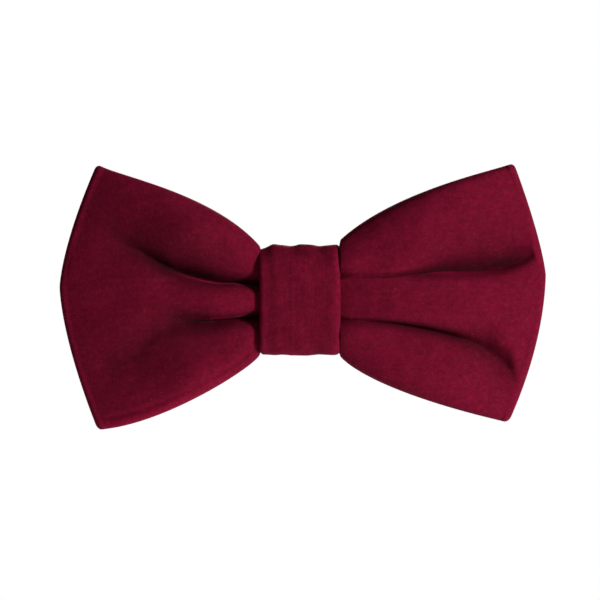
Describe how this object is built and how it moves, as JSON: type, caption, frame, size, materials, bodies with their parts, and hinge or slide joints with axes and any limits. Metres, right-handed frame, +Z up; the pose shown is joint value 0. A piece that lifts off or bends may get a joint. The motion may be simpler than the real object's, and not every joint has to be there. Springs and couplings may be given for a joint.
{
  "type": "pre-tied bow tie",
  "caption": "Velvet bow tie, pre-tied: two pleated loop wings, a wrapped knot, and an adjustable neck band with a hook, an eye and a strap slide.",
  "frame": {"origin": "on the axis of the collar that the band closes round, at half the band's height", "axes": "+Z up along the collar's axis, -Y towards the viewer of the bow, +X to the viewer's right"},
  "size_m": [0.1213, 0.1397, 0.0652],
  "materials": {
    "velvet": "burgundy cotton velvet, short dense pile",
    "satin": "burgundy satin, sewn double",
    "interlining": "off-white woven interlining",
    "thread": "dark burgundy sewing thread",
    "nickel": "bright nickel plate"
  },
  "bodies": {
    "band": {"band_front_run": "satin", "band_left_run": "satin", "band_right_run": "satin", "band_outer_run": "satin", "band_return_run": "satin", "band_eye_fold": "satin", "eye_fold_stitches": "thread", "eye_loop": "nickel"},
    "bow": {"left_wing_loop": "velvet", "right_wing_loop": "velvet", "left_wing_core": "interlining", "right_wing_core": "interlining", "pleated_waist": "velvet", "waist_thread": "thread", "knot_band": "velvet", "knot_core": "interlining", "knot_stitches": "thread"},
    "slide": {"adjuster": "nickel", "adjuster_end_loop": "satin", "end_loop_stitches": "thread", "band_weave": "satin"},
    "hook_end": {"hook": "nickel", "band_hook_fold": "satin"}
  },
  "joints": [
    {"name": "bow_shift", "type": "hinge", "parent": "band", "child": "bow", "pos_m": [0, 0, 0], "axis": [0, 0, 1], "range_deg": [-8, 8]},
    {"name": "adjuster_shift", "type": "hinge", "parent": "band", "child": "slide", "pos_m": [0, 0, 0], "axis": [0, 0, 1], "range_deg": [-30, 20]},
    {"name": "hook_shift", "type": "hinge", "parent": "band", "child": "hook_end", "pos_m": [0, 0, 0], "axis": [0, 0, 1], "range_deg": [0, 3.6]}
  ]
}
